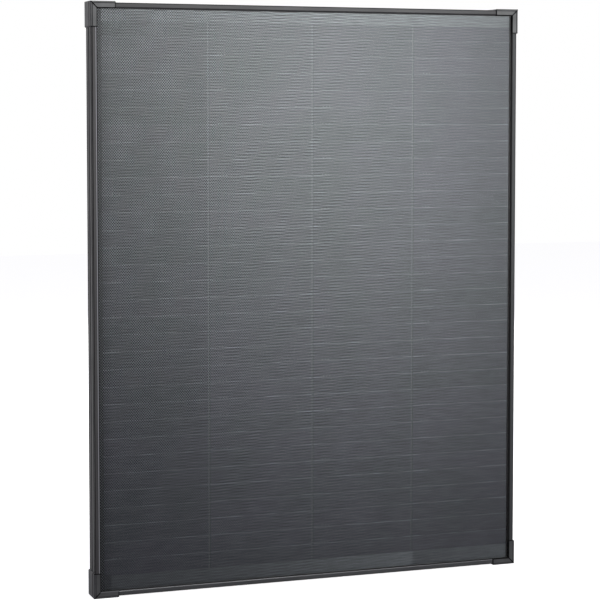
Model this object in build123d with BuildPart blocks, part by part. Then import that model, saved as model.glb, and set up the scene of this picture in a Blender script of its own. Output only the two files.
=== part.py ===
from build123d import *
import os

# Framed photovoltaic panel, millimetres.
# +Z is up, the glass faces -Y, and +X is to the right of someone looking at the glass.
# The origin is at the bottom centre of the whole panel, corner protectors included.

os.makedirs("parts", exist_ok=True)

# ---------------------------------------------------------------- driving sizes
frame_width = 670.0
frame_height = 860.0
frame_depth = 35.0
protector_wall = 2.0
protector_face = 1.5

frame_left = -frame_width / 2
frame_right = frame_width / 2
frame_bottom = protector_wall
frame_top = frame_bottom + frame_height
frame_front = -(frame_depth + protector_face) / 2 + protector_face
frame_rear = frame_front + frame_depth
mid_height = frame_bottom + frame_height / 2

# frame extrusion, measured inwards from the outer face and rearwards from the lip
lip_width = 7.0
lip_thickness = 1.6
lip_bevel = 0.9
outer_radius = 0.7
web_thickness = 1.8
wall_thickness = 1.4
chamber_width = 10.2
chamber_depth = 11.0
flange_width = 25.0
flange_thickness = 1.6
side_groove_width = 1.2
side_groove_cut = 0.7
front_side_groove = 5.5
middle_side_groove = 19.0

# laminate, listed from the glass rearwards
laminate_inset = 2.5
seal_gap = 0.3
glass_thickness = 3.2
front_encapsulant_thickness = 0.45
cell_layer_thickness = 0.5
rear_encapsulant_thickness = 0.45
backsheet_thickness = 0.3
glass_arris = 0.3

laminate_width = frame_width - 2 * laminate_inset
laminate_height = frame_height - 2 * laminate_inset
glass_front = frame_front + lip_thickness + seal_gap
encapsulant_front = glass_front + glass_thickness
cell_layer_front = encapsulant_front + front_encapsulant_thickness
rear_layer_front = cell_layer_front + cell_layer_thickness
backsheet_front = rear_layer_front + rear_encapsulant_thickness
laminate_rear = backsheet_front + backsheet_thickness
laminate_thickness = laminate_rear - glass_front

# seal in the frame's glazing groove
shelf_front = lip_thickness + laminate_thickness + 2 * seal_gap
chamber_front = shelf_front + wall_thickness
chamber_rear = chamber_front + chamber_depth
chamber_outer = web_thickness + chamber_width + wall_thickness
seal_bead_width = 1.4
seal_bead_share = 0.8
seal_shelf_width = 12.0

# shingled cells: one sixth of a 158.75 mm wafer each, 32 in series, four strings
wafer_width = 158.75
shingle_height = wafer_width / 6
shingle_thickness = 0.17
shingle_pitch = 25.3
shingle_rise = 0.2
shingle_count = 32
string_gap = 3.5
string_pitch = wafer_width + string_gap
string_count = 4
cell_block_raise = 2.0
cell_block_shift = 2.6
cell_block_height = shingle_pitch * (shingle_count - 1) + shingle_height
cell_block_width = string_pitch * string_count - string_gap
cells_top = mid_height + cell_block_height / 2 + cell_block_raise
cells_bottom = cells_top - cell_block_height
cell_clearance = 0.115

# ribbons that collect the current
ribbon_thickness = 0.15
bus_width = 5.0
bus_to_cells = 4.0
tab_width = 2.0
tab_pitch = 20.0
tabs_per_string = 7
tab_on_cell = 1.0
top_bus_z = cells_top + bus_to_cells + bus_width / 2
bottom_bus_z = cells_bottom - bus_to_cells - bus_width / 2
lead_width = 6.0
lead_x = 12.0
insulation_width = 10.0
insulation_thickness = 0.09
lead_gap = 0.01
lead_channel_depth = 0.3
lead_channel_slack = 0.4
lead_channel_overrun = 1.5
lead_slot_slack = 1.0
lead_slot_height = 1.0
top_bus_setback = 0.15
bottom_bus_setback = 0.32
cover_strip_thickness = 0.1
cover_strip_to_frame = 6.0
top_strip_reach = 26.0
bottom_strip_reach = 29.0
cavity_width = 653.0
cavity_end_margin = 3.0

# mounting features in the rear flange
mount_slot_length = 14.0
mount_slot_width = 9.0
mount_slot_spacing = 430.0
flange_hole_inset = 14.0
ground_hole_radius = 2.1
drain_hole_radius = 2.5
drain_hole_spacing = 480.0

# corner pieces
protector_leg = 37.0
protector_front_width = 10.0
protector_hook = 0.9
protector_lip_clearance = 0.1
protector_chamfer = 1.2
protector_mitre_width = 0.8
protector_mitre_cut = 0.6
protector_line_inset = 2.4
protector_line_width = 0.6
protector_line_cut = 0.35
protector_rib_width = 0.9
protector_rib_height = 0.55
protector_rib_end = 4.0
protector_side_line = 9.0
key_leg = 45.0
key_clearance = 0.1
key_notch = 1.0
key_notch_width = 2.0
key_notch_start = 20.0
key_notch_pitch = 7.0
key_notch_count = 3

# junction box on the back
box_width = 112.0
box_height = 90.0
box_drop = 120.0
box_wall = 3.2
box_floor = 2.0
box_base_depth = 19.0
adhesive_thickness = 1.0
adhesive_width = 8.0
adhesive_inset = 3.0
adhesive_outer_radius = 4.0
adhesive_inner_radius = 2.0
box_corner_radius = 5.0
lid_thickness = 2.4
lid_edge_radius = 0.8
lid_tab_width = 28.0
lid_tab_reach = 4.0
lid_rib_length = 70.0
lid_rib_width = 4.0
lid_rib_pitch = 14.0
lid_rib_count = 3
lid_rib_rise = 0.8
lid_rib_drop = 4.0
lid_clearance = 0.4
lid_tongue_wall = 1.2
lid_tongue_depth = 1.5
lid_tongue_radius = 1.4
gasket_width = 1.4
gasket_depth = 1.2
gasket_clearance = 0.05
box_middle = frame_top - box_drop
box_front = laminate_rear + adhesive_thickness
box_floor_rear = box_front + box_floor
box_rim = box_front + box_base_depth
box_top = box_middle + box_height / 2
box_bottom = box_middle - box_height / 2
groove_inset = (box_wall - gasket_width) / 2

# lid hinge
hinge_x = 36.0
knuckle_length = 12.0
knuckle_radius = 2.6
ear_length = 3.7
hinge_side_gap = 0.3
pin_radius = 1.25
ear_bore_radius = 1.27
knuckle_bore_radius = 1.31
hinge_rise = 3.4
ear_foot_depth = 5.6
knuckle_overlap = 3.0
hinge_z = box_top + hinge_rise
hinge_y = box_rim + lid_thickness / 2

# terminals
terminal_x = 20.0
terminal_width = 18.0
terminal_height = 48.0
terminal_thickness = 1.2
terminal_radius = 1.5
terminal_pad_height = 2.5
screw_pad_width = 14.0
screw_pad_height = 10.0
rest_pad_x = 25.0
rest_pad_raise = 8.0
rest_pad_width = 6.0
rest_pad_height = 8.0
terminal_raise = 2.0
terminal_front = box_floor_rear + terminal_pad_height
terminal_rear = terminal_front + terminal_thickness
terminal_screw_drop = 16.0
terminal_screw_radius = 1.75
terminal_screw_head_radius = 3.5
terminal_screw_head_height = 2.4
screw_thread_clearance = 0.03
screw_plate_clearance = 0.15
screw_end_gap = 0.2
screw_recess_length = 4.6
screw_recess_width = 0.9
screw_recess_depth = 1.1
diode_radius = 2.65
diode_length = 9.0
diode_lead_radius = 0.6
diode_raise = 6.0
lead_exit_z = box_middle + 20.0
window_width = 34.0
window_height = 10.0

# cable glands under the junction box
gland_x = 30.0
gland_y = box_floor_rear + 8.0
gland_thread_radius = 6.0
gland_hole_radius = 6.1
gland_flats = 16.0
gland_flange = 3.5
gland_outer_thread = 9.5
gland_inner_thread = 3.6
gland_throat_radius = 3.3
gland_throat_top_radius = 3.5
gland_socket_radius = 4.55
gland_socket_depth = 8.5
seal_outer_radius = 4.5
seal_bore_radius = 3.1
seal_length = 8.0
nut_bore_radius = 6.06
nut_mouth_radius = 3.8
nut_length = 13.0
nut_gap = 0.3
nut_chamfer = 1.5
locknut_flats = 14.0
locknut_thickness = 3.0
locknut_clearance = 0.03

# blank rating label
label_width = 100.0
label_height = 60.0
label_thickness = 0.2
label_drop = 300.0
label_radius = 2.0


# ---------------------------------------------------------------- helpers
def facing_plane(y):
    """Plane at depth y with X to the right and Z up; a negative extrusion goes rearwards."""
    return Plane.XZ.offset(-y)


def side_section(side):
    """Plane across one side of the frame: x inwards, y rearwards, z along the side."""
    if side == "left":
        return Plane(origin=(frame_left, frame_front, frame_bottom), x_dir=(1, 0, 0), z_dir=(0, 0, 1))
    if side == "right":
        return Plane(origin=(frame_right, frame_front, frame_top), x_dir=(-1, 0, 0), z_dir=(0, 0, -1))
    if side == "top":
        return Plane(origin=(frame_left, frame_front, frame_top), x_dir=(0, 0, -1), z_dir=(1, 0, 0))
    return Plane(origin=(frame_right, frame_front, frame_bottom), x_dir=(0, 0, 1), z_dir=(-1, 0, 0))


def side_length(side):
    return frame_height if side in ("left", "right") else frame_width


def mitre_planes(side):
    """The 45 degree planes at the start and the end of one side of the frame."""
    section = side_section(side)
    end = section.origin + section.z_dir * side_length(side)
    start_plane = Plane(origin=section.origin, x_dir=section.y_dir, z_dir=section.z_dir - section.x_dir)
    end_plane = Plane(origin=end, x_dir=section.y_dir, z_dir=section.z_dir + section.x_dir)
    return start_plane, end_plane


def mirrored_copy(original, name, about):
    """The same piece on the other side of a symmetry plane, as a node of its own."""
    with BuildPart() as copy:
        mirror(original.part, about=about)
    copy.part.label = name
    export_step(copy.part, f"parts/{name}.step")
    return copy


# ---------------------------------------------------------------- frame
def rail_outline():
    """Extrusion section: lip, glazing groove, hollow chamber, web and rear flange."""
    with BuildSketch() as outline:
        with BuildLine():
            Polyline(
                (0, 0),
                (lip_width, 0),
                (lip_width, lip_thickness),
                (web_thickness, lip_thickness),
                (web_thickness, shelf_front),
                (chamber_outer, shelf_front),
                (chamber_outer, chamber_rear + wall_thickness),
                (web_thickness, chamber_rear + wall_thickness),
                (web_thickness, frame_depth - flange_thickness),
                (flange_width, frame_depth - flange_thickness),
                (flange_width, frame_depth),
                (0, frame_depth),
                close=True,
            )
        make_face()
        fillet(outline.vertices().group_by(Axis.X)[0], outer_radius)
        chamfer(outline.vertices().sort_by_distance((lip_width, 0, 0))[0], lip_bevel)
        with Locations((web_thickness, chamber_front)):
            Rectangle(chamber_width, chamber_depth, align=Align.MIN, mode=Mode.SUBTRACT)
        with Locations((0, front_side_groove), (0, middle_side_groove)):
            Rectangle(2 * side_groove_cut, side_groove_width, mode=Mode.SUBTRACT)
    return outline.sketch


def make_rail(side):
    section = side_section(side)
    start_plane, end_plane = mitre_planes(side)
    with BuildPart() as rail:
        with BuildSketch(section):
            add(rail_outline())
        extrude(amount=side_length(side))
        split(bisect_by=start_plane, keep=Keep.TOP)
        split(bisect_by=end_plane, keep=Keep.BOTTOM)
        if side in ("left", "right"):
            flange_x = frame_left + flange_hole_inset if side == "left" else frame_right - flange_hole_inset
            with BuildSketch(facing_plane(frame_rear)):
                with Locations((flange_x, mid_height)):
                    with GridLocations(1, mount_slot_spacing, 1, 2):
                        SlotOverall(mount_slot_length, mount_slot_width, rotation=90)
                    Circle(ground_hole_radius)
            extrude(amount=2 * flange_thickness, mode=Mode.SUBTRACT)
        else:
            flange_z = frame_top - flange_hole_inset if side == "top" else frame_bottom + flange_hole_inset
            with BuildSketch(facing_plane(frame_rear)):
                with Locations((0, flange_z)):
                    with GridLocations(drain_hole_spacing, 1, 2, 1):
                        Circle(drain_hole_radius)
            extrude(amount=2 * flange_thickness, mode=Mode.SUBTRACT)
    name = f"frame_rail_{side}"
    rail.part.label = name
    export_step(rail.part, f"parts/{name}.step")
    return rail


def make_frame_seal(side):
    """Black glazing seal: a U round the laminate's edge with a bead beyond the lip."""
    bead_top = lip_thickness - (lip_thickness - lip_bevel) * seal_bead_share
    glass_level = lip_thickness + seal_gap
    rear_level = shelf_front - seal_gap
    start_plane, end_plane = mitre_planes(side)
    with BuildPart() as seal:
        with BuildSketch(side_section(side)):
            with BuildLine():
                Polyline(
                    (web_thickness, lip_thickness),
                    (lip_width, lip_thickness),
                    (lip_width, bead_top),
                    (lip_width + seal_bead_width, glass_level),
                    (laminate_inset, glass_level),
                    (laminate_inset, rear_level),
                    (seal_shelf_width, rear_level),
                    (seal_shelf_width, shelf_front),
                    (web_thickness, shelf_front),
                    close=True,
                )
            make_face()
        extrude(amount=side_length(side))
        split(bisect_by=start_plane, keep=Keep.TOP)
        split(bisect_by=end_plane, keep=Keep.BOTTOM)
    name = f"frame_seal_{side}"
    seal.part.label = name
    export_step(seal.part, f"parts/{name}.step")
    return seal


for side_name in ("left", "right", "top", "bottom"):
    make_rail(side_name)
    make_frame_seal(side_name)


# ---------------------------------------------------------------- corner keys
def corner_outline(leg, inner, outer=0.0):
    """L outline from the corner: two legs of the given length between two offsets."""
    with BuildSketch() as outline:
        with BuildLine():
            Polyline(
                (outer, -outer),
                (leg, -outer),
                (leg, -inner),
                (inner, -inner),
                (inner, -leg),
                (outer, -leg),
                close=True,
            )
        make_face()
    return outline.sketch


def make_corner_key():
    """L-shaped key that joins two mitred rails inside their hollow chambers."""
    near = web_thickness + key_clearance
    far = web_thickness + chamber_width - key_clearance
    corner = Plane(origin=(frame_left, frame_front, frame_top), x_dir=(1, 0, 0), z_dir=(0, -1, 0))
    with BuildPart() as key:
        with BuildSketch(corner.offset(-(chamber_front + key_clearance))):
            add(corner_outline(key_leg, far, near))
            for index in range(key_notch_count):
                step = key_notch_start + index * key_notch_pitch
                with Locations((step, -far), (far, -step)):
                    Rectangle(2 * key_notch, key_notch_width, rotation=45, mode=Mode.SUBTRACT)
        extrude(amount=-(chamber_depth - 2 * key_clearance))
    key.part.label = "corner_key_top_left"
    export_step(key.part, "parts/corner_key_top_left.step")
    return key


# ---------------------------------------------------------------- corner protectors
def make_corner_protector():
    """Moulded cap over the front, the side and the end of one frame corner."""
    depth = frame_depth + protector_face
    lip_edge = protector_wall + lip_width + protector_lip_clearance
    corner = Plane(
        origin=(frame_left - protector_wall, frame_rear - depth, frame_top + protector_wall),
        x_dir=(1, 0, 0),
        z_dir=(0, -1, 0),
    )
    rib_reach = protector_wall + protector_rib_height
    rib_front = protector_face + middle_side_groove - protector_rib_width / 2
    with BuildPart() as protector:
        with BuildSketch(corner):
            add(corner_outline(protector_leg, protector_front_width))
        extrude(amount=-protector_face)
        with BuildSketch(corner):
            add(corner_outline(protector_leg, protector_wall))
        extrude(amount=-depth)
        with BuildSketch(corner.offset(-protector_face)):
            add(corner_outline(protector_leg, protector_front_width, lip_edge))
        extrude(amount=-protector_hook)
        with BuildSketch(corner.offset(-rib_front)):
            add(corner_outline(protector_leg - protector_rib_end, rib_reach, protector_wall))
        extrude(amount=-protector_rib_width)
        outer_edges = (
            protector.edges()
            .filter_by(lambda edge: abs(edge.center().Y - (frame_rear - depth)) < 0.01)
            .filter_by(
                lambda edge: abs(edge.center().X - corner.origin.X) < 0.01
                or abs(edge.center().Z - corner.origin.Z) < 0.01
            )
        )
        chamfer(outer_edges, protector_chamfer)
        end_edges = protector.edges().filter_by(Axis.Y).filter_by(
            lambda edge: abs(edge.center().X - (corner.origin.X + protector_leg)) < 0.01
            and abs(edge.center().Z - corner.origin.Z) < 0.01
            or abs(edge.center().Z - (corner.origin.Z - protector_leg)) < 0.01
            and abs(edge.center().X - corner.origin.X) < 0.01
        )
        chamfer(end_edges, protector_chamfer)
        with BuildSketch(corner):
            middle = protector_front_width / 2
            with Locations((middle, -middle)):
                Rectangle(2 * protector_front_width, protector_mitre_width, rotation=-45)
        extrude(amount=-protector_mitre_cut, mode=Mode.SUBTRACT)
        with BuildSketch(corner):
            line_inner = protector_line_inset + protector_line_width
            add(corner_outline(protector_leg, line_inner, protector_line_inset))
        extrude(amount=-protector_line_cut, mode=Mode.SUBTRACT)
        with BuildSketch(corner.offset(-protector_side_line)):
            add(corner_outline(protector_leg, protector_line_width))
        extrude(amount=-side_groove_width, mode=Mode.SUBTRACT)
    protector.part.label = "corner_protector_top_left"
    export_step(protector.part, "parts/corner_protector_top_left.step")
    return protector


middle_level = Plane.XY.offset(mid_height)
corner_pieces = {"corner_key": make_corner_key(), "corner_protector": make_corner_protector()}
for piece_name, corner_piece in corner_pieces.items():
    mirrored_copy(corner_piece, f"{piece_name}_top_right", Plane.YZ)
    bottom_left_piece = mirrored_copy(corner_piece, f"{piece_name}_bottom_left", middle_level)
    mirrored_copy(bottom_left_piece, f"{piece_name}_bottom_right", Plane.YZ)


# ---------------------------------------------------------------- laminate sheets
with BuildPart() as front_glass:
    with BuildSketch(facing_plane(glass_front)):
        with Locations((0, mid_height)):
            Rectangle(laminate_width, laminate_height)
    extrude(amount=-glass_thickness)
    chamfer(front_glass.faces().filter_by(Axis.Y).edges(), glass_arris)
front_glass.part.label = "front_glass"
export_step(front_glass.part, "parts/front_glass.step")

with BuildPart() as encapsulant_sheet_front:
    with BuildSketch(facing_plane(encapsulant_front)):
        with Locations((0, mid_height)):
            Rectangle(laminate_width, laminate_height)
    extrude(amount=-front_encapsulant_thickness)
encapsulant_sheet_front.part.label = "encapsulant_front"
export_step(encapsulant_sheet_front.part, "parts/encapsulant_front.step")

# The rear sheet flows up round the cells, and carries the two lead ribbons in channels.
with BuildPart() as encapsulant_sheet_rear:
    with BuildSketch(facing_plane(cell_layer_front)):
        with Locations((0, mid_height)):
            Rectangle(laminate_width, laminate_height)
    extrude(amount=-(cell_layer_thickness + rear_encapsulant_thickness))
    with BuildSketch(facing_plane(cell_layer_front)):
        with Locations((0, mid_height)):
            Rectangle(cavity_width, laminate_height - 2 * cavity_end_margin)
    extrude(amount=-cell_layer_thickness, mode=Mode.SUBTRACT)
    with BuildSketch(facing_plane(rear_layer_front)):
        with Locations((lead_x, lead_exit_z - lead_channel_overrun)):
            Rectangle(
                insulation_width + lead_channel_slack,
                top_bus_z - lead_exit_z + 4 * lead_channel_overrun,
                align=(Align.CENTER, Align.MIN),
            )
        with Locations((-lead_x, lead_exit_z + lead_channel_overrun)):
            Rectangle(
                insulation_width + lead_channel_slack,
                lead_exit_z - bottom_bus_z + 4 * lead_channel_overrun,
                align=(Align.CENTER, Align.MAX),
            )
    extrude(amount=-lead_channel_depth, mode=Mode.SUBTRACT)
    with BuildSketch(facing_plane(rear_layer_front)):
        with Locations((lead_x, lead_exit_z), (-lead_x, lead_exit_z)):
            Rectangle(lead_width + lead_slot_slack, lead_slot_height)
    extrude(amount=-rear_encapsulant_thickness, mode=Mode.SUBTRACT)
encapsulant_sheet_rear.part.label = "encapsulant_rear"
export_step(encapsulant_sheet_rear.part, "parts/encapsulant_rear.step")

with BuildPart() as backsheet:
    with BuildSketch(facing_plane(backsheet_front)):
        with Locations((0, mid_height)):
            Rectangle(laminate_width, laminate_height)
        with Locations((lead_x, lead_exit_z), (-lead_x, lead_exit_z)):
            Rectangle(lead_width + lead_slot_slack, lead_slot_height, mode=Mode.SUBTRACT)
    extrude(amount=-backsheet_thickness)
backsheet.part.label = "backsheet"
export_step(backsheet.part, "parts/backsheet.step")

with BuildPart() as rating_label:
    with BuildSketch(facing_plane(laminate_rear)):
        with Locations((0, frame_top - label_drop)):
            RectangleRounded(label_width, label_height, label_radius)
    extrude(amount=-label_thickness)
rating_label.part.label = "rating_label"
export_step(rating_label.part, "parts/rating_label.step")


# ---------------------------------------------------------------- cells
def make_cell_string(index):
    """One string: shingles laid like roof tiles, each lower edge over the next one's top."""
    tilt = Vector(1, 0, 0).get_angle(Vector(shingle_pitch, shingle_rise, 0))
    centre_x = cell_block_shift + (index - (string_count + 1) / 2) * string_pitch
    centre_y = cell_layer_front + cell_clearance + (shingle_rise + shingle_thickness) / 2
    places = []
    for row in range(shingle_count):
        centre_z = cells_top - shingle_height / 2 - row * shingle_pitch
        places.append(Location((centre_x, centre_y, centre_z), (-tilt, 0, 0)))
    with BuildPart() as string:
        with Locations(*places):
            Box(wafer_width, shingle_thickness, shingle_height)
    name = f"cell_string_{index}"
    string.part.label = name
    export_step(string.part, f"parts/{name}.step")
    return string


for string_index in range(1, string_count + 1):
    make_cell_string(string_index)


# ---------------------------------------------------------------- ribbons
def make_bus_ribbon(name, bus_z, tab_direction, depth):
    """Flat ribbon across all strings, with a comb of tabs reaching onto the end shingles."""
    tab_length = bus_to_cells + tab_on_cell
    with BuildPart() as bus:
        with BuildSketch(facing_plane(depth)):
            with Locations((cell_block_shift, bus_z)):
                Rectangle(cell_block_width, bus_width)
            for index in range(string_count):
                string_x = cell_block_shift + (index - (string_count - 1) / 2) * string_pitch
                tab_z = bus_z + tab_direction * (bus_width + tab_length) / 2
                with Locations((string_x, tab_z)):
                    with GridLocations(tab_pitch, 1, tabs_per_string, 1):
                        Rectangle(tab_width, tab_length)
        extrude(amount=-ribbon_thickness)
    bus.part.label = name
    export_step(bus.part, f"parts/{name}.step")
    return bus


def make_lead_ribbon(name, x, bus_z, bus_rear):
    """Lead from a bus ribbon, behind the cells, then rearwards into the junction box."""
    lead_front = rear_layer_front + insulation_thickness + lead_gap
    low = min(bus_z, lead_exit_z)
    high = max(bus_z, lead_exit_z)
    with BuildPart() as lead:
        with BuildSketch(facing_plane(lead_front)):
            with Locations((x, low - ribbon_thickness / 2)):
                Rectangle(lead_width, high - low + ribbon_thickness, align=(Align.CENTER, Align.MIN))
        extrude(amount=-ribbon_thickness)
        with BuildSketch(facing_plane(bus_rear)):
            with Locations((x, bus_z)):
                Rectangle(lead_width, bus_width)
        extrude(amount=-(lead_front + ribbon_thickness - bus_rear))
        with BuildSketch(facing_plane(lead_front)):
            with Locations((x, lead_exit_z)):
                Rectangle(lead_width, ribbon_thickness)
        extrude(amount=-(terminal_front - lead_front))
    lead.part.label = name
    export_step(lead.part, f"parts/{name}.step")
    return lead


top_bus_front = cell_layer_front + top_bus_setback
bottom_bus_front = cell_layer_front + bottom_bus_setback
make_bus_ribbon("bus_ribbon_top", top_bus_z, -1, top_bus_front)
make_bus_ribbon("bus_ribbon_bottom", bottom_bus_z, 1, bottom_bus_front)
make_lead_ribbon("lead_ribbon_top", lead_x, top_bus_z, top_bus_front + ribbon_thickness)
make_lead_ribbon("lead_ribbon_bottom", -lead_x, bottom_bus_z, bottom_bus_front + ribbon_thickness)

with BuildPart() as lead_insulation:
    with BuildSketch(facing_plane(rear_layer_front)):
        with Locations((lead_x, lead_exit_z)):
            Rectangle(insulation_width, cells_top - lead_exit_z, align=(Align.CENTER, Align.MIN))
        with Locations((-lead_x, lead_exit_z)):
            Rectangle(insulation_width, lead_exit_z - cells_bottom, align=(Align.CENTER, Align.MAX))
    extrude(amount=-insulation_thickness)
lead_insulation.part.label = "lead_insulation"
export_step(lead_insulation.part, "parts/lead_insulation.step")


def make_cover_strip(name, near_z, far_z):
    """Dark film in front of one bus ribbon, overlapping the end row of cells."""
    with BuildPart() as strip:
        with BuildSketch(facing_plane(cell_layer_front)):
            with Locations((cell_block_shift, (near_z + far_z) / 2)):
                Rectangle(cell_block_width, abs(far_z - near_z))
        extrude(amount=-cover_strip_thickness)
    strip.part.label = name
    export_step(strip.part, f"parts/{name}.step")
    return strip


make_cover_strip("cover_strip_top", frame_top - cover_strip_to_frame, frame_top - top_strip_reach)
make_cover_strip("cover_strip_bottom", frame_bottom + cover_strip_to_frame, frame_bottom + bottom_strip_reach)


# ---------------------------------------------------------------- junction box
def make_box_base():
    """Open tray with a ribbon window, terminal pads, gasket groove, gland holes and hinge ears."""
    cavity_width_in_box = box_width - 2 * box_wall
    cavity_height_in_box = box_height - 2 * box_wall
    groove_end = groove_inset + gasket_width
    with BuildPart() as base:
        with BuildSketch(facing_plane(box_front)):
            with Locations((0, box_middle)):
                RectangleRounded(box_width, box_height, box_corner_radius)
        extrude(amount=-box_base_depth)
        with BuildSketch(facing_plane(box_floor_rear)):
            with Locations((0, box_middle)):
                RectangleRounded(cavity_width_in_box, cavity_height_in_box, box_corner_radius - box_wall)
        extrude(amount=-box_base_depth, mode=Mode.SUBTRACT)
        with BuildSketch(facing_plane(box_front)):
            with Locations((0, lead_exit_z)):
                Rectangle(window_width, window_height)
        extrude(amount=-box_floor, mode=Mode.SUBTRACT)
        with BuildSketch(facing_plane(box_rim)):
            with Locations((0, box_middle)):
                RectangleRounded(
                    box_width - 2 * groove_inset,
                    box_height - 2 * groove_inset,
                    box_corner_radius - groove_inset,
                )
                RectangleRounded(
                    box_width - 2 * groove_end,
                    box_height - 2 * groove_end,
                    box_corner_radius - groove_end,
                    mode=Mode.SUBTRACT,
                )
        extrude(amount=gasket_depth, mode=Mode.SUBTRACT)
        with BuildSketch(facing_plane(box_floor_rear)):
            with Locations((0, box_middle - terminal_screw_drop)):
                with GridLocations(2 * terminal_x, 1, 2, 1):
                    Rectangle(screw_pad_width, screw_pad_height)
        extrude(amount=-terminal_pad_height)
        with BuildSketch(facing_plane(box_floor_rear)):
            with Locations((0, box_middle + rest_pad_raise)):
                with GridLocations(2 * rest_pad_x, 1, 2, 1):
                    Rectangle(rest_pad_width, rest_pad_height)
        extrude(amount=-terminal_pad_height)
        with BuildSketch(facing_plane(terminal_front)):
            with Locations((0, box_middle - terminal_screw_drop)):
                with GridLocations(2 * terminal_x, 1, 2, 1):
                    Circle(terminal_screw_radius + screw_thread_clearance)
        extrude(amount=terminal_pad_height, mode=Mode.SUBTRACT)
        with BuildSketch(Plane.XY.offset(box_bottom)):
            with Locations((0, gland_y)):
                with GridLocations(2 * gland_x, 1, 2, 1):
                    Circle(gland_hole_radius)
        extrude(amount=box_wall, mode=Mode.SUBTRACT)
        ear_offset = (knuckle_length + ear_length) / 2 + hinge_side_gap
        ear_steps = (-ear_offset, ear_offset)
        for ear_x in [pin_x + step for pin_x in (-hinge_x, hinge_x) for step in ear_steps]:
            with BuildSketch(Plane.YZ.offset(ear_x - ear_length / 2)):
                with Locations((hinge_y, hinge_z)):
                    Circle(knuckle_radius)
                with Locations((hinge_y, box_top)):
                    Rectangle(ear_foot_depth, hinge_rise, align=(Align.MAX, Align.MIN))
                with Locations((hinge_y, hinge_z)):
                    Circle(ear_bore_radius, mode=Mode.SUBTRACT)
            extrude(amount=ear_length)
    base.part.label = "junction_box_base"
    export_step(base.part, "parts/junction_box_base.step")
    return base


def make_box_gasket():
    outer = groove_inset + gasket_clearance
    inner = groove_inset + gasket_width - gasket_clearance
    with BuildPart() as gasket:
        with BuildSketch(facing_plane(box_rim)):
            with Locations((0, box_middle)):
                RectangleRounded(box_width - 2 * outer, box_height - 2 * outer, box_corner_radius - outer)
                RectangleRounded(
                    box_width - 2 * inner,
                    box_height - 2 * inner,
                    box_corner_radius - inner,
                    mode=Mode.SUBTRACT,
                )
        extrude(amount=gasket_depth)
    gasket.part.label = "junction_box_gasket"
    export_step(gasket.part, "parts/junction_box_gasket.step")
    return gasket


def make_box_lid():
    """Lid plate with a locating tongue, three stiffening ribs, a finger tab and two knuckles."""
    lid_top = box_top - hinge_side_gap
    tongue_width = box_width - 2 * (box_wall + lid_clearance)
    tongue_height = box_height - 2 * (box_wall + lid_clearance)
    with BuildPart() as lid:
        with BuildSketch(facing_plane(box_rim)):
            with Locations((0, (lid_top + box_bottom) / 2)):
                RectangleRounded(box_width, lid_top - box_bottom, box_corner_radius)
            with Locations((0, box_bottom + lid_tab_reach / 4)):
                Rectangle(lid_tab_width, lid_tab_reach * 5 / 4, align=(Align.CENTER, Align.MAX))
        extrude(amount=-lid_thickness)
        rear_edges = lid.faces().sort_by(Axis.Y)[-1].outer_wire().edges()
        fillet(rear_edges, lid_edge_radius)
        with BuildSketch(facing_plane(box_rim + lid_thickness)):
            with Locations((0, box_middle - lid_rib_drop)):
                with GridLocations(1, lid_rib_pitch, 1, lid_rib_count):
                    SlotOverall(lid_rib_length, lid_rib_width)
        extrude(amount=-lid_rib_rise)
        with BuildSketch(facing_plane(box_rim)):
            with Locations((0, box_middle)):
                RectangleRounded(tongue_width, tongue_height, lid_tongue_radius)
                Rectangle(
                    tongue_width - 2 * lid_tongue_wall,
                    tongue_height - 2 * lid_tongue_wall,
                    mode=Mode.SUBTRACT,
                )
        extrude(amount=lid_tongue_depth)
        for knuckle_x in (-hinge_x, hinge_x):
            with BuildSketch(Plane.YZ.offset(knuckle_x - knuckle_length / 2)):
                with Locations((hinge_y, hinge_z)):
                    Circle(knuckle_radius)
                with Locations((hinge_y, hinge_z)):
                    Rectangle(lid_thickness, hinge_rise + knuckle_overlap, align=(Align.CENTER, Align.MAX))
            extrude(amount=knuckle_length)
            with BuildSketch(Plane.YZ.offset(knuckle_x - knuckle_length / 2)):
                with Locations((hinge_y, hinge_z)):
                    Circle(knuckle_bore_radius)
            extrude(amount=knuckle_length, mode=Mode.SUBTRACT)
    lid.part.label = "junction_box_lid"
    export_step(lid.part, "parts/junction_box_lid.step")
    return lid


def make_hinge_pins():
    pin_length = knuckle_length + 2 * (ear_length + hinge_side_gap)
    with BuildPart() as pins:
        for pin_x in (-hinge_x, hinge_x):
            with BuildSketch(Plane.YZ.offset(pin_x - pin_length / 2)):
                with Locations((hinge_y, hinge_z)):
                    Circle(pin_radius)
            extrude(amount=pin_length)
    pins.part.label = "lid_hinge_pins"
    export_step(pins.part, "parts/lid_hinge_pins.step")
    return pins


def make_box_adhesive():
    bead_outer_width = box_width - 2 * adhesive_inset
    bead_outer_height = box_height - 2 * adhesive_inset
    with BuildPart() as adhesive:
        with BuildSketch(facing_plane(laminate_rear)):
            with Locations((0, box_middle)):
                RectangleRounded(bead_outer_width, bead_outer_height, adhesive_outer_radius)
                RectangleRounded(
                    bead_outer_width - 2 * adhesive_width,
                    bead_outer_height - 2 * adhesive_width,
                    adhesive_inner_radius,
                    mode=Mode.SUBTRACT,
                )
        extrude(amount=-adhesive_thickness)
    adhesive.part.label = "junction_box_adhesive"
    export_step(adhesive.part, "parts/junction_box_adhesive.step")
    return adhesive


make_box_base()
make_box_gasket()
make_box_lid()
make_hinge_pins()
make_box_adhesive()


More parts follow.
